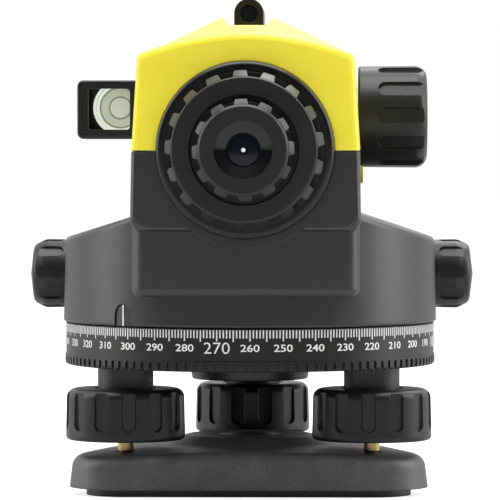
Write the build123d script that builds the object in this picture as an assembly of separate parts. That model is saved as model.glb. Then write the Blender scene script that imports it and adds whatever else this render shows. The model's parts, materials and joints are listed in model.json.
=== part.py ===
from build123d import *
import os
from math import cos, pi, radians, sin

# An automatic level on a three-screw base. All sizes are in millimetres.
# Origin: centre of the foot plate's underside, on the standing axis.
# +Z up, +Y along the line of sight towards the objective, +X to the observer's right.

# ---- driving dimensions ----------------------------------------------------
SIGHT_Z = 91.5              # height of the line of sight
BODY_REAR, BODY_FRONT = -62.0, 60.0
SEAM_Z = 91.4               # where the cover meets the housing
WALL = 2.5                  # wall of the cast housing and the cover
FIT = 0.05                  # radial clearance of a running fit

SCREW_RING = 37.8           # distance of each footscrew from the standing axis
SCREW_ANGLES = {"left": 210.0, "right": 330.0, "back": 90.0}
BALL_R = 3.2                # ball end of a footscrew spindle
BALL_Z = 6.4                # height of the ball's centre
CUP_R = 5.2                 # nylon cup round the ball
SPINDLE_R = 4.0             # threaded part of a spindle
SPINDLE_TOP = 40.0
KNOB_LOW, KNOB_HIGH = 14.6, 28.3
KNOB_R = 15.9
KNOB_FLUTES = 13
KNOB_PHASES = {"left": -84.0, "right": -93.65, "back": -76.15}   # where the flutes happen to stand
BACK_KNOB_DROP = 1.6        # the back knob sits a little lower on its spindle

BASE_TOP = 2.1              # top of the base plate
BASE_SCREW_R, BASE_SCREW_TOP = 1.25, 7.0
PLATE_CORNER_R = 14.9       # foot plate's corner radius round each footscrew
PLATE_BOSS = 14.8           # top of the foot plate's boss
THREAD_R = 6.8              # minor radius of the 5/8 inch tripod thread
THREAD_LENGTH = 10.0
TAP_HOLE_R = 8.5            # upper end of the thread bush's seat

HUB_R = 16.3                # round hub in the middle of the tribrach's underside
HUB_LOW = 29.8
POST_R = 7.4                # post that holds a footscrew's threaded bush
BUSH_R = 5.8
BUSH_SLOT = 0.6             # half the extra length of a bush's bore, fore and aft
TABLE_R = 45.9              # turned table that centres the horizontal circle
TABLE_LOW, TABLE_TOP = 34.4, 39.0

CIRCLE_R = 49.9
CIRCLE_LOW, CIRCLE_KNURL, CIRCLE_HIGH = 34.0, 36.8, 45.2
CIRCLE_SLOTS = 120

DISC_LOW = 45.5             # lower edge of the alidade's round housing
ROOF_TOP = 74.8             # its roof's flat middle, under the telescope body
NECK_REAR, NECK_LOW, NECK_HALF = -60.6, 53.9, 29.2
AXIS_R, AXIS_LOW = 8.0, 32.4  # standing axis and its lower end
AXIS_BUSH_R = 10.5
TOWER_R = 12.0              # tribrach's tower outside the axis bush
TOWER_TOP = 61.6
CLUTCH_R = 13.0             # friction sleeve between tower and worm wheel

DRIVE_Y, DRIVE_Z = 24.0, 57.5
GEAR_MODULE = 0.8
WHEEL_TEETH = 48
WORM_PITCH_R = 4.8

FOCUS_Y, FOCUS_Z = 12.0, 100.6
RACK_MODULE = 0.5
PINION_TEETH = 10
PINION_R = RACK_MODULE * PINION_TEETH / 2
TONGUE_R, TONGUE_Z = 6.0, 88.5   # cover's tongue that hangs down beside the focusing knob
TONGUE_X = 30.6
POCKET_R, POCKET_X = 14.5, 29.0   # shallow round pocket for the focusing knob's inner end

NOSE_R = 13.8               # nose tube that carries the reticle and the eyepiece
SLEEVE_R = 9.95             # sliding eyepiece sleeve
COMP_Y = -20.0              # middle of the compensator
TAPE_TOP = 108.0            # where the suspension tapes are clamped
VIAL_X, VIAL_Y, VIAL_R = -33.5, -36.0, 7.15
VIAL_LOW, VIAL_HIGH = 94.9, 96.7
LEVEL_BOX = (-43.95, -27.0, -45.5, -20.0, 94.4, 109.6)
LEVEL_WINDOW = (-41.1, -30.25, 96.8, 107.4)
SIGHT_BACK, SIGHT_FRONT = -16.0, 10.0
GROOVE_Z = 123.9            # floor of the groove that the optical sight sits in

LOW = (Align.CENTER, Align.CENTER, Align.MIN)


# ---- helpers ---------------------------------------------------------------
def rod(radius, low, high):
    """Cylinder on the Z axis between two heights."""
    return Pos(0, 0, low) * Cylinder(radius, high - low, align=LOW)


def ring(outer, inner, low, high):
    """Plain tube on the Z axis."""
    return rod(outer, low, high) - rod(inner, low - 1, high + 1)


def block(x0, x1, y0, y1, z0, z1):
    """Box between six planes."""
    centre = Pos((x0 + x1) / 2, (y0 + y1) / 2, (z0 + z1) / 2)
    return centre * Box(x1 - x0, y1 - y0, z1 - z0)


def along_y(shape, x=0.0, z=SIGHT_Z):
    """Turn a shape built on the Z axis onto a line parallel to +Y."""
    return Pos(x, 0, z) * Rot(-90, 0, 0) * shape


def along_x(shape, y, z):
    """Turn a shape built on the Z axis onto a line parallel to +X."""
    return Pos(0, y, z) * Rot(0, 90, 0) * shape


def turned(points, rounds=None):
    """Solid of revolution about Z from (radius, height) points.

    rounds maps a point's index to the radius that rounds its corner.
    """
    face = make_face(Polyline(*[(r, 0, z) for r, z in points], close=True)).face()
    for index, radius in (rounds or {}).items():
        r, z = points[index]
        corner = face.vertices().sort_by_distance((r, 0, z))[0]
        face = face.fillet_2d(radius, [corner])
    return revolve(face, Axis.Z)


def prism_x(points, half_width):
    """Prism across X from (y, z) points."""
    face = make_face(Polyline(*[(-half_width, y, z) for y, z in points], close=True))
    return extrude(face, amount=2 * half_width, dir=(1, 0, 0))


def screw_place(name):
    """Centre of a footscrew in plan."""
    angle = radians(SCREW_ANGLES[name])
    return Pos(SCREW_RING * cos(angle), SCREW_RING * sin(angle), 0)


def at_screws(shape):
    """One copy of a shape on each footscrew's axis."""
    return [screw_place(name) * shape for name in SCREW_ANGLES]


def group(shapes):
    """Several separate solids as one node."""
    return Compound(children=[solid for shape in shapes for solid in shape.solids()])


def rounded_triangle_face(radius, z):
    """Triangle with a round corner about each footscrew's axis, at one height."""
    circles = [screw_place(name) * Circle(radius) for name in SCREW_ANGLES]
    outline = make_hull([edge for circle in circles for edge in circle.edges()])
    return (Pos(0, 0, z) * outline).face()


def rounded_triangle(radius, low, high):
    return extrude(rounded_triangle_face(radius, low), amount=high - low)


def flutes(count, radius, width, depth, end, far, phase=0.0):
    """Sloping-sided finger flutes, open at the far end and round at the other end."""
    step = 1 if far > end else -1
    reach = 1.5

    def outline(half, place):
        centre = end + step * half
        corners = [(place, -half, centre), (place, -half, far), (place, half, far), (place, half, centre)]
        arc = ThreePointArc(corners[3], (place, 0, end), corners[0])
        return make_face(Polyline(*corners).edges() + arc.edges()).face()

    floor = outline(width / 2 - 0.35, radius - depth)
    mouth = outline(width / 2 + 0.35 * reach / depth, radius + reach)
    cutter = loft([floor, mouth], ruled=True)
    return [Rot(0, 0, phase + 360.0 * k / count) * cutter for k in range(count)]


def toothed(root_r, tip_r, root_half, tip_half, count, low, high, phase=0.0):
    """Teeth of straight flanks round Z, to be added to a blank of the root radius."""
    inside = root_r - 0.4
    points = [(inside, -root_half), (tip_r, -tip_half), (tip_r, tip_half), (inside, root_half)]
    face = make_face(Polyline(*[(x, y, low) for x, y in points], close=True))
    tooth = extrude(face, amount=high - low, dir=(0, 0, 1))
    return [Rot(0, 0, phase + 360.0 * k / count) * tooth for k in range(count)]


# ---- base ------------------------------------------------------------------
def foot_plate():
    """Cast rounded triangle with a socket for each footscrew and the tripod thread's seat.

    Its sides taper, and its top falls away gently from a central boss.
    """
    lower = rounded_triangle_face(PLATE_CORNER_R, BASE_TOP)
    upper = rounded_triangle_face(PLATE_CORNER_R - 1.6, 16.0)
    sides = loft([lower, upper], ruled=True)
    top = [(0, 0), (60, 0), (60, 9.9), (22.3, 12.6), (17.0, PLATE_BOSS), (0, PLATE_BOSS)]
    body = sides & turned(top, {3: 6.0, 4: 2.5})
    rim = [edge for edge in body.edges() if 8 < edge.center().Z < 12.5]
    body = fillet(rim, 3.4)
    socket = rod(CUP_R + 0.4, BASE_TOP - 1, 9.6) + rod(2.7, 9, 16)
    for place in at_screws(socket):
        body = body - place
    body = body - rod(11.0, BASE_TOP - 1, 9.0) - rod(TAP_HOLE_R, 5, 16)
    for place in base_screw_places():
        body = body - place * rod(BASE_SCREW_R, BASE_TOP - 1, BASE_SCREW_TOP + 0.4)
    return body


def base_plate():
    """Flat plate that closes the casting's underside and stands on the tripod head."""
    plate = rounded_triangle(10.4, 0, BASE_TOP)
    plate = plate - rod(11.0, -1, 3)
    for place in base_screw_places():
        plate = plate - place * turned([(0, -1), (2.6, -1), (2.6, 0), (1.25, 1.3), (1.25, 3), (0, 3)])
    return plate


def base_screw_places():
    """Three places midway between the footscrews."""
    return [Rot(0, 0, angle) * Pos(20.5, 0, 0) for angle in (30, 150, 270)]


def base_plate_screws():
    """Countersunk screws that hold the base plate to the casting."""
    shank = rod(BASE_SCREW_R, 1.3, BASE_SCREW_TOP)
    head = turned([(0, 0.15), (2.4, 0.15), (BASE_SCREW_R, 1.3), (0, 1.3)])
    screw = shank + head - block(-0.35, 0.35, -3, 3, -1, 0.7)
    return group([place * screw for place in base_screw_places()])


def tripod_thread_bush():
    """Steel bush that takes the tripod's fixing screw."""
    return ring(11.0, THREAD_R, 0, 9.0) + ring(TAP_HOLE_R, THREAD_R, 8.9, THREAD_LENGTH)


def ball_cup():
    """Nylon cup that grips a spindle's ball and rocks in its socket."""
    cup = rod(CUP_R, BALL_Z - 3.7, BALL_Z + 2.6) - Pos(0, 0, BALL_Z) * Sphere(BALL_R + FIT)
    return cup - rod(2.5, BALL_Z, BALL_Z + 4)


def footscrew_knob(name):
    """Fluted knob with a hollow top that clears the tribrach's post."""
    drop = BACK_KNOB_DROP if name == "back" else 0.0
    low, high, hollow = KNOB_LOW - drop, KNOB_HIGH - drop, 21.5
    profile = [
        (SPINDLE_R, low), (KNOB_R, low), (KNOB_R - 0.3, high), (8.4, high), (8.4, hollow),
        (SPINDLE_R, hollow),
    ]
    knob = turned(profile, {1: 1.2, 2: 2.5})
    for cutter in flutes(KNOB_FLUTES, KNOB_R, 4.0, 0.95, low + 2.7, high + 1, KNOB_PHASES[name]):
        knob = knob - cutter
    return knob


def footscrew_spindle():
    """Brass spindle: ball end, thin neck and threaded shank."""
    ball = Pos(0, 0, BALL_Z) * Sphere(BALL_R)
    neck = [(0, BALL_Z), (1.75, BALL_Z), (1.75, 11.4), (2.05, 11.7), (2.05, KNOB_LOW), (0, KNOB_LOW)]
    shank = [(0, KNOB_LOW), (SPINDLE_R, KNOB_LOW), (SPINDLE_R, SPINDLE_TOP), (0, SPINDLE_TOP)]
    return ball + turned(neck) + turned(shank, {2: 0.8})


# ---- tribrach --------------------------------------------------------------
def tribrach_body():
    """Casting with three posts under the circle's table, a central hub and the axis tower."""
    hub = turned([(0, HUB_LOW), (HUB_R - 0.7, HUB_LOW), (HUB_R, 34.5), (HUB_R, 36), (0, 36)], {1: 0.5})
    post = rod(POST_R, 24.0, 36)
    cap = turned([(0, 36), (6.2, 36), (6.2, 42.5), (0, 42.5)], {2: 1.0})
    body = rod(TABLE_R, TABLE_LOW, TABLE_TOP) + hub
    for place in at_screws(post + cap):
        body = body + place
    tower = [(0, 35), (15, 35), (15, 53.3), (TOWER_R, 53.3), (TOWER_R, TOWER_TOP), (0, TOWER_TOP)]
    body = body + turned(tower)
    body = body - rod(AXIS_BUSH_R, AXIS_LOW - 0.6, TOWER_TOP + 1)
    for place in at_screws(rod(BUSH_R, 23, 38) + rod(5.0, 37, 41.5)):
        body = body - place
    return body


def footscrew_bushes():
    """Threaded bushes in the posts, each opened out fore and aft for the fore tilt."""
    bush = rod(BUSH_R, 24, 38)
    for y in (-BUSH_SLOT, 0, BUSH_SLOT):
        bush = bush - Pos(0, y, 0) * rod(SPINDLE_R + 0.1, 23, 39)
    return group(at_screws(bush))


def axis_bush():
    """Bronze bush that the standing axis turns in."""
    return ring(AXIS_BUSH_R, AXIS_R + FIT, AXIS_LOW, TOWER_TOP - 0.2)


def clutch_sleeve():
    """Friction sleeve on the tower that lets the worm wheel slip for coarse aiming."""
    return ring(CLUTCH_R, TOWER_R, 53.3, TOWER_TOP - 0.2)


def horizontal_circle():
    """Graduated ring with a knurled lower rim."""
    scale_r = CIRCLE_R - 0.25
    seat_z = TABLE_TOP + FIT
    outline = [
        (TABLE_R + FIT, CIRCLE_LOW), (CIRCLE_R, CIRCLE_LOW), (CIRCLE_R, CIRCLE_KNURL),
        (scale_r, CIRCLE_KNURL), (scale_r, CIRCLE_HIGH), (46.4, CIRCLE_HIGH), (46.4, 40.4), (44.2, 40.4),
        (44.2, seat_z), (TABLE_R + FIT, seat_z),
    ]
    circle = turned(outline, {1: 0.9})
    pitch = 360.0 / CIRCLE_SLOTS
    slot_r, slot_top, half = CIRCLE_R - 0.45, CIRCLE_KNURL - 0.9, 0.55
    slot = block(slot_r, CIRCLE_R + 1, -half, half, CIRCLE_LOW - 1, slot_top)
    slot = slot + Pos(slot_r, 0, slot_top) * Rot(0, 90, 0) * Cylinder(half, 1.45, align=LOW)
    return circle - [Rot(0, 0, k * pitch) * slot for k in range(CIRCLE_SLOTS)]


def worm_wheel():
    """Wheel that the fine drive pushes against, gripped by the clutch sleeve."""
    pitch_r = GEAR_MODULE * WHEEL_TEETH / 2
    root_r = pitch_r - 1.0
    half = 1.75
    blank = rod(16.0, 53.6, 61.2) + rod(root_r, DRIVE_Z - half, DRIVE_Z + half)
    teeth = toothed(root_r, pitch_r + 0.5, 0.8, 0.28, WHEEL_TEETH, DRIVE_Z - half, DRIVE_Z + half, 90.0)
    return (blank + teeth) - rod(CLUTCH_R + FIT, 50, 65)


def worm_shaft():
    """Cross shaft with a single-start right-hand worm in the middle."""
    pitch = pi * GEAR_MODULE
    turns = 3
    path = Helix(pitch=pitch, height=turns * pitch, radius=WORM_PITCH_R)
    section = [(-1.2, -0.74), (0.6, -0.3), (0.6, 0.3), (-1.2, 0.74)]
    start = path @ 0
    profile = make_face(Polyline(*[(start.X + a, 0, b) for a, b in section], close=True))
    thread = sweep(profile, path=path, is_frenet=True)
    core = rod(WORM_PITCH_R - 0.9, -2.5, turns * pitch + 2.5)
    worm = Pos(0, 0, -turns * pitch / 2) * (core + thread)
    # the thread starts on the side that faces the wheel
    worm = Pos(0, DRIVE_Y, DRIVE_Z) * Rot(0, 90, 0) * Rot(0, 0, -90) * worm
    return worm + along_x(rod(2.5, -58, 58), DRIVE_Y, DRIVE_Z)


def drive_knobs():
    """Fluted knobs on both ends of the cross shaft."""
    outline = [(2.5, 48.6), (9.3, 48.6), (9.45, 56.6), (7.9, 60.0), (0, 61.0), (0, 58), (2.5, 58)]
    knob = turned(outline, {1: 0.8, 2: 3.0, 3: 2.0})
    for cutter in flutes(9, 9.5, 3.7, 0.9, 51.6, 63.0, 26.8):
        knob = knob - cutter
    knob = along_x(knob, DRIVE_Y, DRIVE_Z)
    return group([knob, mirror(knob, about=Plane.YZ)])


def drive_bushes():
    """Plain bushes in the housing's wall for the cross shaft."""
    bush = along_x(ring(4.0, 2.5 + FIT, 32, 48.0), DRIVE_Y, DRIVE_Z)
    return group([bush, mirror(bush, about=Plane.YZ)])


# ---- alidade housing and cover ---------------------------------------------
# The body's section at four stations: y, half-widths of the foot, seam and eave, and
# heights of the foot, eave, middle of the roof's slope, shoulder and crown.
BODY_STATIONS = [
    (BODY_REAR, 29.6, 29.2, 27.7, 70.6, 115.9, 119.25, 121.05, 121.4),
    (-28.0, 29.7, 29.6, 28.1, 70.6, 116.4, 121.4, 126.2, 126.25),
    (20.0, 29.7, 29.6, 28.1, 70.6, 116.4, 121.4, 126.2, 126.25),
    (BODY_FRONT, 26.0, 27.4, 25.2, 67.6, 111.0, 115.1, 117.4, 117.7),
]
SHOULDER_X = 6.9            # half-width of the roof's flat crown
ROOF_MID_X = 17.3
END_ROUND = 1.6             # rounding of the body's end faces


def body_section(station, place, scale_x, scale_z):
    """Face across the telescope body at one station."""
    foot_x, seam_x, eave_x, foot_z, eave_z, mid_z, shoulder_z, crown_z = station[1:]

    def point(x, z):
        return (x * scale_x, place, SIGHT_Z + (z - SIGHT_Z) * scale_z)

    edges = Line(point(-foot_x, foot_z), point(foot_x, foot_z)).edges()
    for side in (1, -1):
        foot = point(side * foot_x, foot_z)
        seam = point(side * seam_x, SEAM_Z)
        eave = point(side * eave_x, eave_z)
        mid = point(side * ROOF_MID_X, mid_z)
        shoulder = point(side * SHOULDER_X, shoulder_z)
        edges += Line(foot, seam).edges() + Line(seam, eave).edges()
        edges += ThreePointArc(eave, mid, shoulder).edges()
    left, right = point(-SHOULDER_X, shoulder_z), point(SHOULDER_X, shoulder_z)
    edges += ThreePointArc(left, point(0, crown_z), right).edges()
    face = make_face(edges).face()
    for x, z, radius in ((foot_x, foot_z, 3.2), (eave_x, eave_z, 1.8)):
        for side in (1, -1):
            corner = face.vertices().sort_by_distance(point(side * x, z))[0]
            face = face.fillet_2d(radius * scale_x, [corner])
    return face


def body_form():
    """Closed outer form of the telescope body, with rounded end faces."""
    rear, *middle, front = BODY_STATIONS
    behind, ahead = [], []
    for angle in (0, 30, 60, 90):
        offset = END_ROUND * (1 - cos(radians(angle)))
        shrink = 1 - END_ROUND * (1 - sin(radians(angle))) / rear[2]
        behind.append(body_section(rear, BODY_REAR + offset, shrink, shrink))
        ahead.insert(0, body_section(front, BODY_FRONT - offset, shrink, shrink))
    between = [body_section(station, station[0], 1.0, 1.0) for station in middle]
    return loft(behind + between + ahead, ruled=True)


def body_cavity():
    """Hollow of the telescope body."""
    places = [station[0] for station in BODY_STATIONS]
    places[0] += WALL
    places[-1] -= WALL
    sections = [body_section(station, y, 0.912, 0.90) for station, y in zip(BODY_STATIONS, places)]
    return loft(sections, ruled=True)


def tongue_form(outside):
    """Rounded tongue beside the focusing knob, out to the given distance."""
    flank = block(24, outside, FOCUS_Y - TONGUE_R, FOCUS_Y + TONGUE_R, TONGUE_Z, FOCUS_Z)
    return flank + along_x(rod(TONGUE_R, 24, outside), FOCUS_Y, TONGUE_Z)


def knob_pocket():
    return along_x(rod(POCKET_R, POCKET_X, 40), FOCUS_Y, FOCUS_Z)


def cover_zone():
    """Region above the seam, with the tongue that dips beside the focusing knob."""
    return block(-40, 40, -80, 80, SEAM_Z, 140) + tongue_form(34)


def cover_screw_places():
    return [Pos(x, y, 0) for x, y in ((-24.5, -55), (24.5, -55), (-23.5, 46), (23.5, 46))]


def disc_form():
    """Round lower housing over the circle, with a roof that falls away to both sides."""
    drum = turned([(0, DISC_LOW), (50.3, DISC_LOW), (49.6, ROOF_TOP), (0, ROOF_TOP)], {1: 0.6})
    roof = [(28, ROOF_TOP), (60, 64.7), (60, 40), (-60, 40), (-60, 64.7), (-28, ROOF_TOP)]
    face = make_face(Polyline(*[(x, -60, z) for x, z in roof], close=True))
    body = drum & extrude(face, amount=120, dir=(0, 1, 0))
    rim = [edge for edge in body.edges() if edge.center().Z > 60 and abs(edge.center().X) > 28]
    rim = [edge for edge in rim if edge.geom_type != GeomType.LINE]
    return fillet(rim, 1.5)


def disc_cavity():
    return turned([(0, DISC_LOW - 1), (47.6, DISC_LOW - 1), (46.9, 65.6), (31, 70.8), (0, 70.8)])


def neck_form():
    """Block that joins the disc to the telescope body and overhangs it at the back."""
    neck = block(-NECK_HALF, NECK_HALF, NECK_REAR, 47, NECK_LOW, 74)
    neck = fillet(neck.edges().filter_by(Axis.Z).group_by(Axis.Y)[0], 4.5)
    neck = fillet(neck.edges().filter_by(Axis.Z).group_by(Axis.Y)[-1], 14.0)
    return fillet(neck.edges().group_by(Axis.Z)[0], 2.0)


def neck_cavity():
    half = NECK_HALF - WALL
    inner = block(-half, half, NECK_REAR + WALL, 36, NECK_LOW + WALL, 69.0)
    inner = fillet(inner.edges().filter_by(Axis.Z).group_by(Axis.Y)[0], 2.5)
    return inner - rod(50.3, 50, 75)


def seam_groove():
    """Shallow groove along the housing's upper edge."""
    slab = block(-40, 40, -70, 70, SEAM_Z - 0.45, SEAM_Z + 1)
    return slab - Pos(0, 0, SIGHT_Z) * scale(Pos(0, 0, -SIGHT_Z) * body_form(), by=(0.992, 0.995, 1.0))


def main_housing():
    """Grey casting: round lower housing, neck and the telescope body's lower half."""
    outer = body_form()
    lower = outer - cover_zone() - seam_groove()
    boss = along_y(rod(25.0, BODY_REAR, -50)) & block(-40, 40, -70, -40, 50, SEAM_Z)
    body = disc_form() + neck_form() + lower + boss
    body = body + along_x(rod(7.0, -47.9, 47.9), DRIVE_Y, DRIVE_Z)
    body = body - disc_cavity() - neck_cavity() - (body_cavity() - cover_zone())
    inside = rod(17.0, 65.2, 74) + block(-15, 15, -34, -6, 70, 75)
    for y0, y1 in ((-1, 2), (40, 43)):
        inside = inside + block(-24, 24, y0, y1, 70, SEAM_Z)
    for x0, x1 in ((-48, -32), (32, 48)):
        inside = inside + along_x(rod(6.2, x0, x1), DRIVE_Y, DRIVE_Z)
    for place in cover_screw_places():
        inside = inside + place * rod(3.6, 71, SEAM_Z)
    body = body + inside
    for place in cover_screw_places():
        body = body - place * (rod(1.5, 60, SEAM_Z + 1) + rod(2.9, 66, 75))
    body = body - along_x(rod(4.0, -60, 60), DRIVE_Y, DRIVE_Z) - rod(AXIS_R, 60, 70.5)
    body = body - along_y(rod(19.0, -2, 58)) - along_y(rod(21.5, 50, 65)) - along_y(rod(14.0, -70, -48))
    return body - index_arch(40, 60) - knob_pocket()


def index_arch(inner, outer):
    """Arched prism through the round housing's wall at the index mark."""
    half = 2.8
    top = DISC_LOW + 5.8
    arch = block(inner, outer, -half, half, DISC_LOW - 1, top - half)
    arch = arch + Pos(inner, 0, top - half) * Rot(0, 90, 0) * Cylinder(half, outer - inner, align=LOW)
    return Rot(0, 0, -90 - 40.5) * arch


def index_window():
    """Clear insert with the index line, in the arched opening."""
    wall = turned([(48.0, DISC_LOW), (49.9, DISC_LOW), (49.7, 52), (48.0, 52)])
    return wall & index_arch(40, 60)


def top_cover():
    """Upper shell of the telescope body, with a groove for the optical sight."""
    outer = body_form()
    zone = cover_zone()
    cover = (outer & zone) + tongue_form(TONGUE_X)
    cover = cover - (body_cavity() & zone) - knob_pocket()
    inside = along_x(rod(8.0, 21.8, POCKET_X), FOCUS_Y, FOCUS_Z)
    for place in cover_screw_places():
        inside = inside + place * rod(3.6, SEAM_Z, 100)
    cover = cover + inside
    for place in cover_screw_places():
        cover = cover - place * rod(1.5, SEAM_Z - 1, 97)
    cover = cover - along_x(rod(5.0, 15, 40), FOCUS_Y, FOCUS_Z)
    cover = cover - along_y(rod(21.5, 50, 65)) - along_y(rod(14.0, -70, -48))
    groove = [(-5, GROOVE_Z), (5, GROOVE_Z), (7.2, 127), (-7.2, 127)]
    face = make_face(Polyline(*[(x, -58, z) for x, z in groove], close=True))
    cover = cover - extrude(face, amount=112, dir=(0, 1, 0))
    return cover - Pos(VIAL_X, VIAL_Y, 0) * rod(VIAL_R + 0.4, VIAL_LOW - 0.6, VIAL_HIGH + 1.0)


def cover_screws():
    """Screws that hold the cover, put in from below."""
    body = rod(1.5, 75, 96) + rod(2.8, 73.0, 75) - block(-3, 3, -0.35, 0.35, 72, 73.8)
    return group([place * body for place in cover_screw_places()])


def standing_axis():
    """Steel axis fixed in the housing, turning in the tribrach's bush."""
    flange = rod(15, 62.2, 65.2)
    return turned([(0, AXIS_LOW), (AXIS_R, AXIS_LOW), (AXIS_R, 70.5), (0, 70.5)], {1: 0.8}) + flange


# ---- telescope -------------------------------------------------------------
def telescope_tube():
    """Tube that guides the focusing carrier, open at the side for the rack."""
    tube = along_y(ring(19.0, 17.2, -2, 66))
    return tube - block(12, 26, -3, 39.5, 93.9, 106)


def objective_barrel():
    """Front barrel with the lens seat."""
    outline = [
        (21.5, 54), (21.5, BODY_FRONT), (24.4, BODY_FRONT), (24.4, 63), (23.2, 64.5), (23.2, 87), (24.0, 88),
        (24.0, 92), (21.5, 92), (19.5, 89), (19.5, 75), (17.8, 75), (17.8, 66), (19.0, 66), (19.0, 54),
    ]
    return along_y(turned(outline, {2: 0.8, 7: 0.8}))


def lens(radius, back, front, back_bulge, front_bulge):
    """Lens on the line of sight; a positive bulge is convex outwards."""
    shape = rod(radius, back, front)
    for face, bulge, outward in ((back, back_bulge, -1), (front, front_bulge, 1)):
        sphere_r = (radius * radius + bulge * bulge) / (2 * abs(bulge))
        if bulge > 0:
            shape = shape & Pos(0, 0, face - outward * sphere_r) * Sphere(sphere_r)
        else:
            shape = shape - Pos(0, 0, face + outward * (sphere_r + bulge)) * Sphere(sphere_r)
    return along_y(shape)


def objective_retaining_ring():
    return along_y(turned([(18.2, 85), (19.5, 85), (19.5, 88.4), (18.6, 88.4)]))


def focus_carrier():
    """Sliding cell of the focusing lens, with its rack."""
    cell = along_y(ring(17.2 - FIT, 14.0, 10, 22))
    arm = block(14.6, 16.6, 12, 20, 94.5, 97.0)
    rack_top = FOCUS_Z - PINION_R - 0.45
    rack = block(16.5, 20.4, -2, 26, 94.5, rack_top)
    pitch = pi * RACK_MODULE
    teeth = []
    for k in range(-8, 8):
        y = FOCUS_Y + (k + 0.5) * pitch
        low, high = rack_top - 0.2, rack_top + 0.8
        points = [(y - 0.45, low), (y + 0.45, low), (y + 0.2, high), (y - 0.2, high)]
        teeth.append(Pos(18.45, 0, 0) * prism_x(points, 1.95))
    return (cell + arm + rack) + teeth


def focus_shaft():
    """Shaft of the focusing knob, with its pinion."""
    shaft = rod(3.0, 21.4, 44) + rod(1.4, 16.0, 21.5) + rod(PINION_R - 0.75, 16.9, 20.0)
    teeth = toothed(PINION_R - 0.75, PINION_R + 0.38, 0.44, 0.18, PINION_TEETH, 16.9, 20.0, 0.0)
    return along_x(shaft + teeth, FOCUS_Y, FOCUS_Z)


def focus_bush():
    return along_x(ring(5.0, 3.0 + FIT, 21.8, POCKET_X), FOCUS_Y, FOCUS_Z)


def focus_knob():
    """Large fluted focusing knob."""
    outline = [(3.0, 29.3), (13.7, 29.3), (13.9, 48.0), (0, 48.0), (0, 44), (3.0, 44)]
    knob = turned(outline, {1: 0.6, 2: 3.4})
    for cutter in flutes(11, 13.9, 4.4, 1.1, 34.7, 49.5, 7.1):
        knob = knob - cutter
    return along_x(knob, FOCUS_Y, FOCUS_Z)


# ---- compensator -----------------------------------------------------------
def compensator_frame():
    """U-shaped frame with bars that carry the fixed prisms and the suspension."""
    frame = block(-15, 15, -34, -6, 75, 75.4)
    for side in (-1, 1):
        x0, x1 = sorted((side * 13, side * 15))
        frame = frame + block(x0, x1, -34, -6, 75, 110)
    frame = frame + block(-13, 13, -34, -26.5, 97.5, 99.5) + block(-13, 13, -13.5, -6, 97.5, 99.5)
    frame = frame + block(-13, 13, COMP_Y - 5, COMP_Y + 5, 107, 110)
    for side in (-1, 1):
        x0, x1 = sorted((side * 9.4, side * 10.8))
        frame = frame - block(x0, x1, COMP_Y - 3.4, COMP_Y + 3.4, 106, 109)
    return frame


def fixed_prisms():
    """Two right-angle prisms that turn the light down to the pendulum and back."""
    front = prism_x([(-6.5, 97.5), (-18.5, 85.5), (-6.5, 85.5)], 8)
    back = prism_x([(-33.5, 97.5), (-21.5, 85.5), (-33.5, 85.5)], 8)
    return group([front, back])


def damping_magnets():
    """Magnets that damp the pendulum's side plates."""
    magnet = block(11.3, 13, COMP_Y - 4, COMP_Y + 4, 79, 86)
    return group([magnet, mirror(magnet, about=Plane.YZ)])


def suspension_tapes():
    """Four thin tapes that the pendulum hangs on."""
    tapes = []
    for x in (-10.1, 10.1):
        for y in (COMP_Y - 2, COMP_Y + 2):
            tapes.append(block(x - 0.15, x + 0.15, y - 0.8, y + 0.8, 100, TAPE_TOP))
    return group(tapes)


def pendulum():
    """Hanging frame that carries the moving prism."""
    body = block(-10.7, 10.7, -30, -10, 76.2, 77.8)
    for side in (-1, 1):
        x0, x1 = sorted((side * 9.5, side * 10.7))
        body = body + block(x0, x1, -30, -10, 76.2, 84) + block(x0, x1, COMP_Y - 3, COMP_Y + 3, 80, 100)
    return body


def pendulum_prism():
    """Moving prism with two 45 degree faces."""
    return prism_x([(-6.9, 84.9), (-33.1, 84.9), (-26, 77.8), (-14, 77.8)], 9.5)


# ---- eyepiece --------------------------------------------------------------
def eyepiece_collar():
    """Flange and nose tube on the body's rear face."""
    outline = [
        (14.0, -58), (14.0, BODY_REAR), (23.0, BODY_REAR), (22.6, -68), (NOSE_R, -68), (NOSE_R, -77.6),
        (SLEEVE_R + FIT, -77.6), (SLEEVE_R + FIT, -72.4), (11.0, -72.4), (11.0, -58),
    ]
    nose = along_y(turned(outline, {3: 1.5}))
    for k in range(4):
        hole = Pos(0, 0, -70.2) * Rot(0, 0, 90 * k) * Rot(0, 90, 0) * rod(1.1, 9, 13.5)
        nose = nose - along_y(hole)
    return nose


def reticle_cell():
    """Brass ring that holds the reticle."""
    return along_y(ring(10.2, 7.9, -71.6, -68.8))


def reticle_disc():
    """Glass disc with the cross hairs."""
    return along_y(rod(7.9, -71.0, -69.4))


def reticle_screws():
    """Radial screws that centre the reticle cell, under the knurled ring."""
    screws = []
    for k in range(4):
        body = rod(1.1, 10.25, 13.4) - block(-0.2, 0.2, -2, 2, 12.9, 14)
        screws.append(along_y(Pos(0, 0, -70.2) * Rot(0, 0, 90 * k) * Rot(0, 90, 0) * body))
    return group(screws)


def crown(envelope, root_r, count, width, low, high, phase):
    """Teeth of a toothed ring: the part of an envelope outside the root, in separate sectors."""
    outside = envelope - rod(root_r - 0.3, low - 1, high + 1)
    inside, beyond = root_r - 1, root_r + 8
    root_half, tip_half = width / 2 + 0.5, width / 2 - 1.4
    corners = [(inside, -root_half), (beyond, -tip_half), (beyond, tip_half), (inside, root_half)]
    face = make_face(Polyline(*[(x, y, low) for x, y in corners], close=True))
    bar = extrude(face, amount=high - low, dir=(0, 0, 1))
    return [outside & Rot(0, 0, phase + 360.0 * k / count) * bar for k in range(count)]


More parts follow.
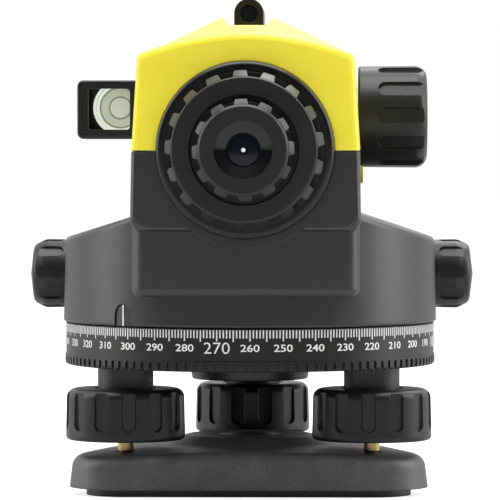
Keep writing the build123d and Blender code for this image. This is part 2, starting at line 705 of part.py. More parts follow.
def reticle_cover_ring():
    """Knurled ring that covers the reticle's adjusting screws."""
    bore = NOSE_R + FIT
    outline = [(bore, -68.4), (19.9, -68.4), (19.9, -70.4), (18.5, -70.4), (18.5, -80), (bore, -80)]
    blank = turned(outline, {4: 0.7})
    envelope = turned([(bore, -70.0), (20.3, -70.0), (20.1, -75.5), (18.6, -79.2), (bore, -79.2)])
    return along_y(blank + crown(envelope, 18.5, 17, 3.2, -79.2, -70.0, -93.0))


def eyepiece_sleeve():
    """Sleeve that carries the eyepiece lenses and slides as the knob turns."""
    return along_y(ring(SLEEVE_R, 8.6, -90.2, -73.6))


def eyepiece_knob():
    """Toothed dioptre ring."""
    bore = SLEEVE_R + FIT
    blank = turned([
        (bore, -80.4), (12.2, -80.4), (12.2, -82.0), (11.4, -82.0), (11.4, -91.4), (10.8, -92), (7.3, -92),
        (7.3, -90.6), (bore, -90.6),
    ])
    envelope = turned([(bore, -81.6), (12.75, -81.6), (12.75, -89.6), (11.5, -91.2), (bore, -91.2)])
    return along_y(blank + crown(envelope, 11.4, 12, 3.0, -91.2, -81.6, -92.5))


def eyecup():
    """Glossy funnel in front of the eye lens."""
    return along_y(turned([(4.3, -86.6), (8.6, -86.6), (8.6, -90.2), (7.2, -90.2), (4.3, -88.5)]))


# ---- level and sight -------------------------------------------------------
def level_housing():
    """Box on the body's side that shows the circular level to the observer."""
    x0, x1, y0, y1, z0, z1 = LEVEL_BOX
    box = block(x0, x1, y0, y1, z0, z1)
    box = fillet(box.edges().filter_by(Axis.Y).group_by(Axis.X)[0], 1.6)
    box = fillet(box.faces().sort_by(Axis.Y)[0].edges(), 0.7)
    left, right, low, high = LEVEL_WINDOW
    window = block(left, right, y0 - 1, y0 + 2, low, high)
    window = fillet(window.edges().filter_by(Axis.Y), 0.9)
    box = box - block(x0 + 2.0, x1 + 1, y0 + 1.2, y1 - 1.2, VIAL_LOW, z1 - 1.4) - window
    box = box - block(x0 - 1, x0 + 3, y0 + 3.0, y1 - 3.0, 98.8, z1 - 2.2)
    return (box - body_form()).solids().sort_by(SortBy.VOLUME)[-1]


def level_vial():
    """Circular level: metal mount with a domed glass."""
    rim_r, rim_z = VIAL_R - 0.9, VIAL_HIGH - 0.3
    outline = [(0, VIAL_LOW), (VIAL_R, VIAL_LOW), (VIAL_R, rim_z), (rim_r, VIAL_HIGH), (0, VIAL_HIGH)]
    return Pos(VIAL_X, VIAL_Y, 0) * turned(outline)


def level_mirror():
    """Mirror at 45 degrees over the vial."""
    centre_z, reach, thick = 102.6, 5.1, 1.3
    rear, front = VIAL_Y - reach, VIAL_Y + reach + 0.6
    top, low = centre_z + reach, centre_z - reach - 0.6
    points = [(rear, top), (front, low), (front + thick, low), (rear + thick, top)]
    half = 6.0
    return Pos(LEVEL_BOX[0] + 2.0 + half, 0, 0) * prism_x(points, half)


def sight_body():
    """Optical peep sight in the cover's groove."""
    width = 3.9
    body = block(-width, width, SIGHT_BACK, SIGHT_FRONT, GROOVE_Z, GROOVE_Z + 4)
    body = body + along_y(rod(width, SIGHT_BACK, SIGHT_FRONT), 0, GROOVE_Z + 4)
    return body - along_y(rod(2.4, SIGHT_BACK - 1, SIGHT_FRONT + 1), 0, GROOVE_Z + 4)


def sight_lens():
    """Small lenses at the sight's two ends."""
    back = rod(2.4, SIGHT_BACK + 1.0, SIGHT_BACK + 2.4)
    front = rod(2.4, SIGHT_FRONT - 2.4, SIGHT_FRONT - 1.0)
    return group([along_y(back, 0, GROOVE_Z + 4), along_y(front, 0, GROOVE_Z + 4)])


# ---- files -----------------------------------------------------------------
def nodes():
    """Every node of the level, by name."""
    parts = {
        "foot_plate": foot_plate(),
        "base_plate": base_plate(),
        "base_plate_screws": base_plate_screws(),
        "tripod_thread_bush": tripod_thread_bush(),
        "tribrach_body": tribrach_body(),
        "footscrew_bushes": footscrew_bushes(),
        "axis_bush": axis_bush(),
        "clutch_sleeve": clutch_sleeve(),
        "horizontal_circle": horizontal_circle(),
        "worm_wheel": worm_wheel(),
        "worm_shaft": worm_shaft(),
        "drive_knobs": drive_knobs(),
        "drive_bushes": drive_bushes(),
        "main_housing": main_housing(),
        "index_window": index_window(),
        "top_cover": top_cover(),
        "cover_screws": cover_screws(),
        "standing_axis": standing_axis(),
        "telescope_tube": telescope_tube(),
        "objective_barrel": objective_barrel(),
        "objective_lens_front": lens(19.5, 80.0, 85.4, -1.6, 2.2),
        "objective_lens_rear": lens(19.5, 77.2, 80.0, -0.6, 1.6),
        "objective_retaining_ring": objective_retaining_ring(),
        "focus_carrier": focus_carrier(),
        "focusing_lens": lens(14.0, 14.6, 17.4, -1.2, -1.2),
        "focus_shaft": focus_shaft(),
        "focus_bush": focus_bush(),
        "focus_knob": focus_knob(),
        "compensator_frame": compensator_frame(),
        "fixed_prisms": fixed_prisms(),
        "damping_magnets": damping_magnets(),
        "suspension_tapes": suspension_tapes(),
        "pendulum": pendulum(),
        "pendulum_prism": pendulum_prism(),
        "eyepiece_collar": eyepiece_collar(),
        "reticle_cell": reticle_cell(),
        "reticle_disc": reticle_disc(),
        "reticle_screws": reticle_screws(),
        "reticle_cover_ring": reticle_cover_ring(),
        "eyepiece_sleeve": eyepiece_sleeve(),
        "eyepiece_knob": eyepiece_knob(),
        "eyecup": eyecup(),
        "eye_lens": lens(8.6, -86.6, -83.4, 0.9, 0.9),
        "field_lens": lens(8.6, -77.0, -74.6, 0.7, 0.3),
        "level_housing": level_housing(),
        "level_vial": level_vial(),
        "level_mirror": level_mirror(),
        "sight_body": sight_body(),
        "sight_lens": sight_lens(),
    }
    for name in SCREW_ANGLES:
        place = screw_place(name)
        parts["ball_cup_" + name] = place * ball_cup()
        parts["footscrew_knob_" + name] = place * footscrew_knob(name)
        parts["footscrew_spindle_" + name] = place * footscrew_spindle()
    return parts


os.makedirs("parts", exist_ok=True)
for node, shape in nodes().items():
    export_step(shape, "parts/" + node + ".step")
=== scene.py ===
import bmesh
import bpy
import json
import math
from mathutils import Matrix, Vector


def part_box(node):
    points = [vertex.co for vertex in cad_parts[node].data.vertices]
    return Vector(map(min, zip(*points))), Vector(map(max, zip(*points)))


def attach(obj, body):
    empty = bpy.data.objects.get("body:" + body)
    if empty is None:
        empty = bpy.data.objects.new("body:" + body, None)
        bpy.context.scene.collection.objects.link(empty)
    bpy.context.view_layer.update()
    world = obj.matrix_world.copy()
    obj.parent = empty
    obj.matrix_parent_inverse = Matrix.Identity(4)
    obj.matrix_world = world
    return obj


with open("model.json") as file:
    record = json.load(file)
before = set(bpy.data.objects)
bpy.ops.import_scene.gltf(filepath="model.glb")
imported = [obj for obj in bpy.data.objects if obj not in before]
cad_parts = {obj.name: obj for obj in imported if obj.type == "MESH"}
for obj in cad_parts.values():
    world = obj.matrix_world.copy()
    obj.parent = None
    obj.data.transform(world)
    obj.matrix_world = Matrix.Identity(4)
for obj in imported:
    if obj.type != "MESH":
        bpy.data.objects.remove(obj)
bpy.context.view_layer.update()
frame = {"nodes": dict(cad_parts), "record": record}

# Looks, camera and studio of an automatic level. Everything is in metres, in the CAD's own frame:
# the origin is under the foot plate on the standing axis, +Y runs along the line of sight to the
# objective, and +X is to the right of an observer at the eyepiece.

MM = 0.001
scene = bpy.context.scene


def centre_of(node):
    low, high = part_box(node)
    return (low + high) / 2


SIGHT_Z = centre_of("eyepiece_collar").z        # height of the line of sight


# ---- node materials --------------------------------------------------------
class Look:
    """A material under construction. Textures run on the object's own coordinates, in metres."""

    def __init__(self, name, **inputs):
        self.material = bpy.data.materials.new(name)
        self.material.use_nodes = True
        self.tree = self.material.node_tree
        self.surface = self.tree.nodes["Principled BSDF"]
        self.place = self.node("ShaderNodeTexCoord").outputs["Object"]
        for key, value in inputs.items():
            self.surface.inputs[key.replace("_", " ")].default_value = value

    def node(self, kind, **settings):
        made = self.tree.nodes.new(kind)
        for key, value in settings.items():
            setattr(made, key, value)
        return made

    def link(self, source, target):
        self.tree.links.new(source, target)
        return target

    def math(self, operation, a, b=0.0):
        made = self.node("ShaderNodeMath", operation=operation)
        for socket, value in zip(made.inputs, (a, b)):
            if isinstance(value, (int, float)):
                socket.default_value = value
            else:
                self.link(value, socket)
        return made.outputs[0]

    def stretched(self, x=1.0, y=1.0, z=1.0):
        """Coordinates scaled along each axis."""
        mapping = self.node("ShaderNodeMapping")
        mapping.inputs["Scale"].default_value = (x, y, z)
        self.link(self.place, mapping.inputs["Vector"])
        return mapping.outputs[0]

    def noise(self, size, detail=3.0, roughness=0.55, where=None):
        """Noise with features of the given size in metres, from 0 to 1."""
        made = self.node("ShaderNodeTexNoise")
        made.inputs["Scale"].default_value = 1.0 / size
        made.inputs["Detail"].default_value = detail
        made.inputs["Roughness"].default_value = roughness
        self.link(where or self.place, made.inputs["Vector"])
        return made.outputs["Fac"]

    def spread(self, value, low, high, to_low=0.0, to_high=1.0):
        """Map a range of a value onto another range, clamped."""
        made = self.node("ShaderNodeMapRange")
        self.link(value, made.inputs["Value"])
        limits = {"From Min": low, "From Max": high, "To Min": to_low, "To Max": to_high}
        for key, number in limits.items():
            made.inputs[key].default_value = number
        return made.outputs["Result"]

    def blend(self, factor, first, second):
        """Mix two colours, each a colour or an output."""
        made = self.node("ShaderNodeMix", data_type="RGBA")
        if isinstance(factor, (int, float)):
            made.inputs[0].default_value = factor
        else:
            self.link(factor, made.inputs[0])
        for socket, value in ((made.inputs[6], first), (made.inputs[7], second)):
            if isinstance(value, tuple):
                socket.default_value = value if len(value) == 4 else value + (1.0,)
            else:
                self.link(value, socket)
        return made.outputs[2]

    def colour(self, value):
        self.link(value, self.surface.inputs["Base Color"])

    def rough(self, value):
        self.link(value, self.surface.inputs["Roughness"])

    def soft_edges(self, radius):
        """Normals that round sharp edges over a small radius."""
        made = self.node("ShaderNodeBevel", samples=4)
        made.inputs["Radius"].default_value = radius
        return made.outputs[0]

    def relief(self, height, depth, under=None):
        """Bump of the given depth in metres, over softened edges if given."""
        made = self.node("ShaderNodeBump")
        made.inputs["Distance"].default_value = depth
        self.link(height, made.inputs["Height"])
        if under is not None:
            self.link(under, made.inputs["Normal"])
        self.link(made.outputs[0], self.surface.inputs["Normal"])


def casting_paint(name, dark, light, grain, depth, roughness, edge=0.35 * MM):
    """Textured enamel on a casting: fine peel, faint mottling and lighter grains."""
    look = Look(name, Specular_IOR_Level=0.8)
    mottled = look.noise(7 * MM, 3.0)
    grains = look.noise(grain, 2.0, 0.6)
    mixed = look.math("ADD", look.math("MULTIPLY", grains, 0.7), look.math("MULTIPLY", mottled, 0.3))
    look.colour(look.blend(look.spread(mixed, 0.38, 0.62), dark, light))
    look.rough(look.spread(grains, 0.3, 0.7, roughness - 0.06, roughness + 0.08))
    look.relief(grains, depth, look.soft_edges(edge))
    return look.material


def moulded(name, dark, light, roughness, grain=0.35 * MM, depth=0.012 * MM, edge=0.3 * MM):
    """Satin moulded plastic or rubber with a faint grain."""
    look = Look(name)
    cloud = look.noise(9 * MM, 4.0)
    grains = look.noise(grain, 2.0)
    look.colour(look.blend(look.spread(cloud, 0.35, 0.65), dark, light))
    look.rough(look.spread(grains, 0.3, 0.7, roughness - 0.05, roughness + 0.06))
    look.relief(grains, depth, look.soft_edges(edge))
    return look.material


def turned_metal(name, dark, light, roughness, axis="y"):
    """Machined metal with fine tool marks across the given axis."""
    look = Look(name, Metallic=1.0)
    scales = {"x": 300.0, "y": 300.0, "z": 300.0}
    scales[axis] = 8000.0
    marks = look.noise(1.0, 2.0, 0.6, look.stretched(**scales))
    look.colour(look.blend(marks, dark, light))
    look.rough(look.spread(marks, 0.2, 0.8, roughness - 0.06, roughness + 0.1))
    look.relief(marks, 0.004 * MM, look.soft_edges(0.12 * MM))
    return look.material


def clear_glass(name, tint, roughness=0.02, coat=0.0, coat_tint=(1, 1, 1, 1)):
    """Polished glass with faint smears on its surface."""
    look = Look(name, Transmission_Weight=1.0, IOR=1.52, Coat_Weight=coat, Coat_Tint=coat_tint)
    smear = look.noise(4 * MM, 4.0)
    look.colour(look.blend(smear, tint, tuple(0.97 * c for c in tint)))
    look.rough(look.spread(smear, 0.4, 0.8, roughness, roughness + 0.03))
    return look.material


def dark_glass(name, deep, sheen):
    """Glass that looks almost black because nothing bright lies behind it: painted shade, with a faint
    painted sheen in its lighter tone.
    """
    look = Look(name, Specular_IOR_Level=0.3)
    cloud = look.noise(5 * MM, 3.0)
    look.colour(look.blend(cloud, deep, sheen))
    look.rough(look.spread(cloud, 0.3, 0.7, 0.05, 0.1))
    return look.material


def vial_enamel(name, dark, light, painted_glow):
    """Pale face under the vial's glass, with a painted glow and painted light that grows brighter away
    from the observer.
    """
    look = Look(name, Coat_Weight=0.5, Coat_Roughness=0.05)
    centre = centre_of("level_vial")
    split = look.node("ShaderNodeSeparateXYZ")
    look.link(look.place, split.inputs[0])
    # Painted light: the face is lit more strongly away from the observer.
    across = look.spread(split.outputs["Y"], centre.y - 7 * MM, centre.y + 6 * MM)
    faint = look.noise(2.5 * MM, 3.0)
    mixed = look.math("ADD", look.math("MULTIPLY", across, 0.8), look.math("MULTIPLY", faint, 0.25))
    shade = look.blend(mixed, dark, light)
    look.colour(shade)
    # Painted glow: the face shines by its own emission, though it is no lamp.
    look.link(shade, look.surface.inputs["Emission Color"])
    look.surface.inputs["Emission Strength"].default_value = painted_glow
    look.rough(look.spread(faint, 0.3, 0.7, 0.25, 0.4))
    return look.material


def pupil_glow():
    """Painted glow standing in for the daylight that comes through the telescope."""
    look = Look("exit_pupil_glow", Emission_Color=(0.9, 0.95, 1.0, 1.0))
    faint = look.noise(0.3 * MM, 2.0)
    look.colour(look.blend(faint, (0.80, 0.84, 0.88), (0.90, 0.92, 0.94)))
    look.link(look.spread(faint, 0.3, 0.7, 0.10, 0.2), look.surface.inputs["Emission Strength"])
    return look.material


def white_print():
    """Screen-printed marks, slightly uneven in their cover."""
    look = Look("white_print")
    cover = look.noise(0.25 * MM, 2.0)
    look.colour(look.blend(look.spread(cover, 0.3, 0.6), (0.62, 0.64, 0.62), (0.86, 0.87, 0.84)))
    look.rough(look.spread(cover, 0.3, 0.7, 0.45, 0.6))
    return look.material


def mirror_silver():
    look = Look("mirror_silver", Metallic=1.0)
    haze = look.noise(3 * MM, 3.0)
    look.colour(look.blend(haze, (0.86, 0.87, 0.87), (0.92, 0.92, 0.91)))
    look.rough(look.spread(haze, 0.4, 0.9, 0.01, 0.04))
    return look.material


MATERIALS = {
    "grey_casting": casting_paint(
        "grey_casting_paint", (0.0095, 0.0101, 0.0103), (0.0138, 0.0145, 0.0148),
        grain=0.5 * MM, depth=0.02 * MM, roughness=0.36),
    "foot_casting": casting_paint(
        "foot_casting_paint", (0.030, 0.031, 0.031), (0.078, 0.080, 0.078),
        grain=0.32 * MM, depth=0.045 * MM, roughness=0.45, edge=0.5 * MM),
    "yellow_cover": moulded(
        "yellow_plastic", (0.84, 0.715, 0.036), (0.88, 0.755, 0.046),
        roughness=0.36, grain=0.5 * MM, depth=0.010 * MM, edge=0.4 * MM),
    "rubber_black": moulded(
        "black_rubber", (0.0075, 0.0075, 0.007), (0.011, 0.011, 0.0102), roughness=0.36, grain=0.3 * MM),
    "black_plastic": moulded("black_plastic", (0.005, 0.005, 0.005), (0.008, 0.008, 0.008), roughness=0.3),
    "gloss_black": moulded(
        "gloss_black", (0.004, 0.004, 0.005), (0.006, 0.006, 0.007),
        roughness=0.12, grain=0.6 * MM, depth=0.001 * MM),
    "black_anodised": moulded(
        "black_anodised", (0.005, 0.005, 0.005), (0.009, 0.009, 0.009),
        roughness=0.36, grain=0.2 * MM, depth=0.004 * MM, edge=0.12 * MM),
    "aluminium": turned_metal("turned_aluminium", (0.62, 0.63, 0.64), (0.78, 0.79, 0.80), 0.32),
    "steel": turned_metal("turned_steel", (0.42, 0.43, 0.44), (0.60, 0.61, 0.62), 0.3, "x"),
    "brass": turned_metal("turned_brass", (0.52, 0.38, 0.15), (0.72, 0.55, 0.26), 0.3, "z"),
    "bronze": turned_metal("turned_bronze", (0.36, 0.22, 0.10), (0.52, 0.34, 0.17), 0.35, "z"),
    "nylon": moulded("natural_nylon", (0.72, 0.70, 0.64), (0.80, 0.78, 0.72), roughness=0.5),
    "coated_glass": clear_glass(
        "coated_glass", (0.80, 0.86, 0.95), roughness=0.01, coat=0.6, coat_tint=(0.35, 0.45, 0.9, 1)),
    "clear_glass": clear_glass("clear_glass", (0.94, 0.97, 0.96)),
    # Painted shade: this glass is coloured near black for the dark space behind it.
    "smoked_glass": dark_glass("smoked_glass", (0.004, 0.005, 0.009), (0.008, 0.010, 0.018)),
    # Vial face: pale, with a painted glow and painted light brighter away from the observer.
    "vial": vial_enamel("vial_enamel", (0.33, 0.37, 0.29), (0.66, 0.67, 0.56), painted_glow=0.55),
    "mirror": mirror_silver(),
    "magnet": turned_metal("plated_magnet", (0.22, 0.22, 0.23), (0.34, 0.34, 0.35), 0.25, "z"),
}
# Nodes whose look differs from the rest of their slot.
MATERIALS_OF_NODES = {
    "index_window": moulded(
        "index_plastic", (0.0100, 0.0105, 0.0105), (0.0140, 0.0145, 0.0145),
        roughness=0.22, grain=0.6 * MM, depth=0.001 * MM),
    "eyepiece_collar": moulded(
        "collar_black", (0.0022, 0.0022, 0.0022), (0.0036, 0.0036, 0.0036),
        roughness=0.3, grain=0.4 * MM, depth=0.004 * MM),
    # Painted shade: the tribrach gets a darker copy of the foot's casting paint, for the shade it sits in.
    "tribrach_body": casting_paint(
        "tribrach_shaded_paint", (0.006, 0.0063, 0.0063), (0.011, 0.0115, 0.0115),
        grain=0.5 * MM, depth=0.03 * MM, roughness=0.45),
}
PRINT = white_print()
# The vial's rim, rings and bubble carry a painted glow and painted light brighter away from the observer.
VIAL_RIM = vial_enamel("vial_rim", (0.60, 0.66, 0.60), (0.86, 0.88, 0.80), painted_glow=0.7)
VIAL_LINE = vial_enamel("vial_line", (0.19, 0.215, 0.17), (0.30, 0.32, 0.26), painted_glow=0.45)
PUPIL = pupil_glow()
BUBBLE = vial_enamel("bubble", (0.36, 0.38, 0.33), (0.74, 0.74, 0.64), painted_glow=0.6)


def paint_cad_nodes():
    """Give every CAD node the material of its slot in the record."""
    for part in frame["record"]["subparts"]:
        slots = frame["nodes"][part["node"]].data.materials
        material = MATERIALS_OF_NODES.get(part["node"], MATERIALS[part["material_slot"]])
        for index in range(max(1, len(slots))):
            if index < len(slots):
                slots[index] = material
            else:
                slots.append(material)


# ---- pieces ----------------------------------------------------------------
def add_piece(name, mesh, material, body):
    """Link a mesh as a piece that rides on a CAD body."""
    piece = bpy.data.objects.new(name, mesh)
    scene.collection.objects.link(piece)
    mesh.materials.append(material)
    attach(piece, body)
    return piece


def wrap_on_circle(bm, radius, facing):
    """Bend a flat drawing (x across, z up, y outwards) onto an upright cylinder.

    facing is the angle of the drawing's middle, in radians from -Y towards +X.
    """
    for vertex in bm.verts:
        x, y, z = vertex.co
        angle = facing + x / radius
        reach = radius + y
        vertex.co = (reach * math.sin(angle), -reach * math.cos(angle), z)


def box_into(bm, x0, x1, y0, y1, z0, z1):
    """Add a small closed box to a mesh being built."""
    verts = [bm.verts.new((x, y, z)) for x in (x0, x1) for y in (y0, y1) for z in (z0, z1)]
    for corners in ((0, 1, 3, 2), (4, 6, 7, 5), (0, 4, 5, 1), (2, 3, 7, 6), (0, 2, 6, 4), (1, 5, 7, 3)):
        bm.faces.new([verts[i] for i in corners])


def mesh_from(bm, name):
    """Finish a mesh with outward normals."""
    bmesh.ops.recalc_face_normals(bm, faces=bm.faces)
    mesh = bpy.data.meshes.new(name)
    bm.to_mesh(mesh)
    bm.free()
    return mesh


CIRCLE_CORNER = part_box("horizontal_circle")[1]   # the highest corner of the circle's box
SCALE_TOP = CIRCLE_CORNER.z
SCALE_R = CIRCLE_CORNER.x - 0.25 * MM            # radius of the graduated band
PRINT_DEPTH = 0.03 * MM
FRONT_READING = 261.1                            # degrees printed under the eyepiece
TICK_WIDTH = 0.34 * MM
TICK_TOP = SCALE_TOP - 0.25 * MM
TICK_LENGTH, TICK_LENGTH_FIVE, TICK_LENGTH_TEN = 2.1 * MM, 3.0 * MM, 2.85 * MM
NUMBER_Z = SCALE_TOP - 4.9 * MM                  # middle of the row of numbers


def circle_facing(reading):
    """Angle from -Y towards +X of a reading on the circle."""
    return math.radians(FRONT_READING - reading)


def gather(bm, part):
    """Move a small mesh under construction into a larger one."""
    mesh = bpy.data.meshes.new("part")
    part.to_mesh(mesh)
    part.free()
    bm.from_mesh(mesh)
    bpy.data.meshes.remove(mesh)


def circle_ticks():
    """One mark per degree, longer at each five and ten."""
    bm = bmesh.new()
    half = TICK_WIDTH / 2
    for degree in range(360):
        length = TICK_LENGTH
        if degree % 10 == 0:
            length = TICK_LENGTH_TEN
        elif degree % 5 == 0:
            length = TICK_LENGTH_FIVE
        mark = bmesh.new()
        box_into(mark, -half, half, -PRINT_DEPTH, PRINT_DEPTH, TICK_TOP - length, TICK_TOP)
        wrap_on_circle(mark, SCALE_R, circle_facing(degree))
        gather(bm, mark)
    return add_piece("circle_ticks", mesh_from(bm, "circle_ticks"), PRINT, "circle")


CAPITAL_SHARE = 0.7         # height of a numeral as a share of the font's size


def flat_text(text, height, stroke, stretch):
    """A number as a thin mesh, centred on the origin in x and z, facing -Y.

    stroke thickens the lines, and stretch widens the whole number.
    """
    curve = bpy.data.curves.new("number", "FONT")
    curve.body = text
    curve.align_x, curve.align_y = "CENTER", "CENTER"
    curve.size = height / CAPITAL_SHARE
    curve.offset = stroke
    curve.extrude = PRINT_DEPTH
    curve.resolution_u = 4
    holder = bpy.data.objects.new("number", curve)
    scene.collection.objects.link(holder)
    bpy.context.view_layer.update()
    mesh = bpy.data.meshes.new_from_object(holder.evaluated_get(bpy.context.evaluated_depsgraph_get()))
    bpy.data.objects.remove(holder)
    bpy.data.curves.remove(curve)
    bm = bmesh.new()
    bm.from_mesh(mesh)
    bpy.data.meshes.remove(mesh)
    xs = [v.co.x for v in bm.verts]
    ys = [v.co.y for v in bm.verts]
    middle_x, middle_y = (min(xs) + max(xs)) / 2, (min(ys) + max(ys)) / 2
    scale = height / (max(ys) - min(ys))
    for vertex in bm.verts:
        x, y, z = vertex.co
        vertex.co = ((x - middle_x) * scale * stretch, z, (y - middle_y) * scale)
    return bm


def circle_numbers():
    """Numbers at each ten degrees, larger at the quarters."""
    bm = bmesh.new()
    for reading in range(0, 360, 10):
        quarter = reading % 90 == 0
        height = 2.95 * MM if quarter else 1.9 * MM
        stroke = -0.02 * MM if quarter else 0.03 * MM
        number = flat_text(str(reading), height, stroke, 1.12 if quarter else 1.3)
        for vertex in number.verts:
            vertex.co.z += NUMBER_Z
        wrap_on_circle(number, SCALE_R, circle_facing(reading))
        gather(bm, number)
    return add_piece("circle_numbers", mesh_from(bm, "circle_numbers"), PRINT, "circle")


def index_line():
    """White line in the index window."""
    low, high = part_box("index_window")
    middle = (low + high) / 2
    facing = math.atan2(middle.x, -middle.y)
    bm = bmesh.new()
    half, sunk, radius = 0.22 * MM, 0.1 * MM, 49.95 * MM
    box_into(bm, -half, half, -sunk, PRINT_DEPTH, low.z + 0.1 * MM, high.z - 0.3 * MM)
    wrap_on_circle(bm, radius, facing)
    return add_piece("index_line", mesh_from(bm, "index_line"), PRINT, "alidade")


def ring_mesh(name, inner, outer, low, high, domed=0.0, segments=96):
    """Flat ring or disc on the Z axis with rounded edges; a dome raises its middle."""
    bm = bmesh.new()
    edge = min(0.3 * (high - low), 0.3 * (outer - inner))
    profile = [(outer, low), (outer, high - edge), (outer - edge, high)]
    if inner > 0:
        profile += [(inner + edge, high), (inner, high - edge), (inner, low)]
    else:
        steps = 6
        for k in range(1, steps):
            share = k / steps
            profile.append(((outer - edge) * (1 - share), high + domed * (1 - (1 - share) ** 2)))
        profile += [(0.0, high + domed), (0.0, low)]
    loops = []
    for radius, z in profile:
        if radius == 0.0:
            loops.append([bm.verts.new((0, 0, z))])
        else:
            turns = [2 * math.pi * k / segments for k in range(segments)]
            loops.append([bm.verts.new((radius * math.cos(t), radius * math.sin(t), z)) for t in turns])
    for first, second in zip(loops, loops[1:] + loops[:1]):
        for k in range(segments):
            n = (k + 1) % segments
            if len(first) == 1 and len(second) == 1:
                break
            if len(first) == 1:
                bm.faces.new((first[0], second[k], second[n]))
            elif len(second) == 1:
                bm.faces.new((first[n], first[k], second[0]))
            else:
                bm.faces.new((first[k], first[n], second[n], second[k]))
    return mesh_from(bm, name)


def vial_details():
    """Bright rim, engraved rings and bubble on the circular level, all with a painted glow."""
    low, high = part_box("level_vial")
    centre = (low + high) / 2
    top = high.z
    radius = (high.x - low.x) / 2
    details = (
        ("vial_rim", 0.90 * radius, 1.0 * radius, 0.10 * MM, 0.0, VIAL_RIM),
        ("vial_band", 0.78 * radius, 0.87 * radius, 0.06 * MM, 0.0, VIAL_RIM),
        ("vial_step", 0.70 * radius, 0.755 * radius, 0.04 * MM, 0.0, VIAL_LINE),
        ("vial_circle", 2.65 * MM, 3.08 * MM, 0.06 * MM, 0.0, VIAL_LINE),
        ("vial_bubble", 0.0, 2.6 * MM, 0.04 * MM, 0.10 * MM, BUBBLE),
    )
    for name, inner, outer, height, dome, material in details:
        mesh = ring_mesh(name, inner, outer, -0.05 * MM, height, dome)
        for vertex in mesh.vertices:
            vertex.co += Vector((centre.x, centre.y, top))
        add_piece(name, mesh, material, "alidade")


def reticle_hairs():
    """Cross hairs and the two short stadia lines on the reticle."""
    low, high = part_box("reticle_disc")
    centre = (low + high) / 2
    bm = bmesh.new()
    thin, reach, stadia_z, stadia_half = 0.03 * MM, 7.6 * MM, 2.2 * MM, 0.9 * MM
    box_into(bm, -reach, reach, -thin, thin, -thin, thin)
    box_into(bm, -thin, thin, -thin, thin, -reach, reach)
    for z in (-stadia_z, stadia_z):
        box_into(bm, -stadia_half, stadia_half, -thin, thin, z - thin, z + thin)
    for vertex in bm.verts:
        vertex.co += Vector((centre.x, low.y, centre.z))
    black = MATERIALS["gloss_black"]
    add_piece("reticle_hairs", mesh_from(bm, "reticle_hairs"), black, "alidade")


def exit_pupil():
    """Small disc with a painted glow, for the bright spot that the telescope's exit pupil makes on the eye
    lens.
    """
    low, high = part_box("eye_lens")
    mesh = ring_mesh("exit_pupil", 0.0, 0.52 * MM, -0.05 * MM, 0.02 * MM, 0.01 * MM, 32)
    for vertex in mesh.vertices:
        x, y, z = vertex.co
        vertex.co = (x, low.y - z, SIGHT_Z + y)
    add_piece("exit_pupil", mesh, PUPIL, "eyepiece")


# ---- studio ----------------------------------------------------------------
def floor():
    """Large pale floor under the foot plate."""
    bm = bmesh.new()
    bmesh.ops.create_grid(bm, x_segments=1, y_segments=1, size=6.0)
    mesh = bpy.data.meshes.new("floor")
    bm.to_mesh(mesh)
    bm.free()
    ground = bpy.data.objects.new("floor", mesh)
    scene.collection.objects.link(ground)
    look = Look("pale_floor", Roughness=0.9, Emission_Color=(1, 1, 1, 1))
    look.surface.inputs["Specular IOR Level"].default_value = 0.0
    look.colour(look.blend(look.noise(0.4, 3.0), (0.46, 0.46, 0.46), (0.50, 0.50, 0.50)))
    seen = look.node("ShaderNodeLightPath").outputs["Is Camera Ray"]
    look.link(look.math("MULTIPLY", seen, 0.75), look.surface.inputs["Emission Strength"])
    mesh.materials.append(look.material)


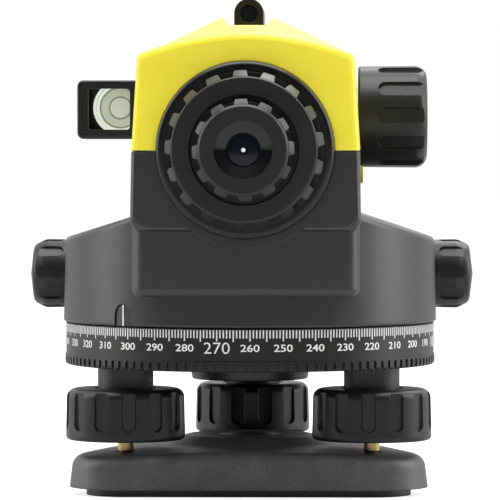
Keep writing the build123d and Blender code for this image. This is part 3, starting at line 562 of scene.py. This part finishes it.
def surround():
    """White studio all round, darker behind the camera."""
    world = bpy.data.worlds.new("studio")
    world.use_nodes = True
    scene.world = world
    tree = world.node_tree
    background = tree.nodes["Background"]
    coords = tree.nodes.new("ShaderNodeTexCoord")
    towards = tree.nodes.new("ShaderNodeVectorMath")
    towards.operation = "DOT_PRODUCT"
    towards.inputs[1].default_value = (0.0, -0.94, -0.34)
    tree.links.new(coords.outputs["Generated"], towards.inputs[0])
    dim = tree.nodes.new("ShaderNodeMapRange")
    dim.interpolation_type = "SMOOTHSTEP"
    limits = {"From Min": -0.4, "From Max": 0.42, "To Min": 1.0, "To Max": 0.04}
    for key, number in limits.items():
        dim.inputs[key].default_value = number
    tree.links.new(towards.outputs["Value"], dim.inputs["Value"])
    path = tree.nodes.new("ShaderNodeLightPath")
    seen = tree.nodes.new("ShaderNodeMix")
    seen.inputs[3].default_value = 1.0
    tree.links.new(path.outputs["Is Camera Ray"], seen.inputs[0])
    tree.links.new(dim.outputs["Result"], seen.inputs[2])
    tree.links.new(seen.outputs[0], background.inputs["Strength"])
    background.inputs["Color"].default_value = (1, 1, 1, 1)


def area_light(name, place, target, size, power, shines=True):
    """Soft box; one that doesn't shine lights surfaces without a mirrored highlight."""
    light = bpy.data.lights.new(name, "AREA")
    light.shape = "RECTANGLE"
    light.size, light.size_y = size
    light.energy = power
    holder = bpy.data.objects.new(name, light)
    scene.collection.objects.link(holder)
    holder.location = place
    holder.rotation_euler = (Vector(target) - Vector(place)).to_track_quat("-Z", "Y").to_euler()
    holder.visible_glossy = shines


def lights():
    """Soft boxes above, behind and at both sides, and a fill from the observer's side."""
    middle = (0.0, 0.0, 0.08)
    area_light("top_box", (0.0, -0.1, 1.0), middle, (0.9, 0.7), 8.0)
    area_light("back_box", (0.3, 0.8, 0.9), middle, (0.7, 0.5), 4.0)
    area_light("left_box", (-0.9, 0.05, 0.45), middle, (0.5, 0.9), 3.5)
    area_light("right_box", (0.9, 0.05, 0.45), middle, (0.5, 0.9), 4.5)
    area_light("fill_box", (0.0, -1.3, 0.8), middle, (1.2, 0.8), 12.5, False)


def camera():
    """Level with the line of sight, almost straight behind the eyepiece."""
    distance, azimuth, aim_z, lens = 1.1, math.radians(1.1), 64.5 * MM, 293.0
    data = bpy.data.cameras.new("camera")
    data.lens, data.sensor_width = lens, 36.0
    data.clip_start, data.clip_end = 0.05, 20.0
    holder = bpy.data.objects.new("camera", data)
    scene.collection.objects.link(holder)
    holder.location = (distance * math.sin(azimuth), -distance * math.cos(azimuth), SIGHT_Z)
    holder.rotation_euler = (Vector((0, 0, aim_z)) - holder.location).to_track_quat("-Z", "Y").to_euler()
    scene.camera = holder


paint_cad_nodes()
circle_ticks()
circle_numbers()
index_line()
vial_details()
reticle_hairs()
exit_pupil()
floor()
surround()
lights()
camera()
scene.view_settings.view_transform = "Standard"
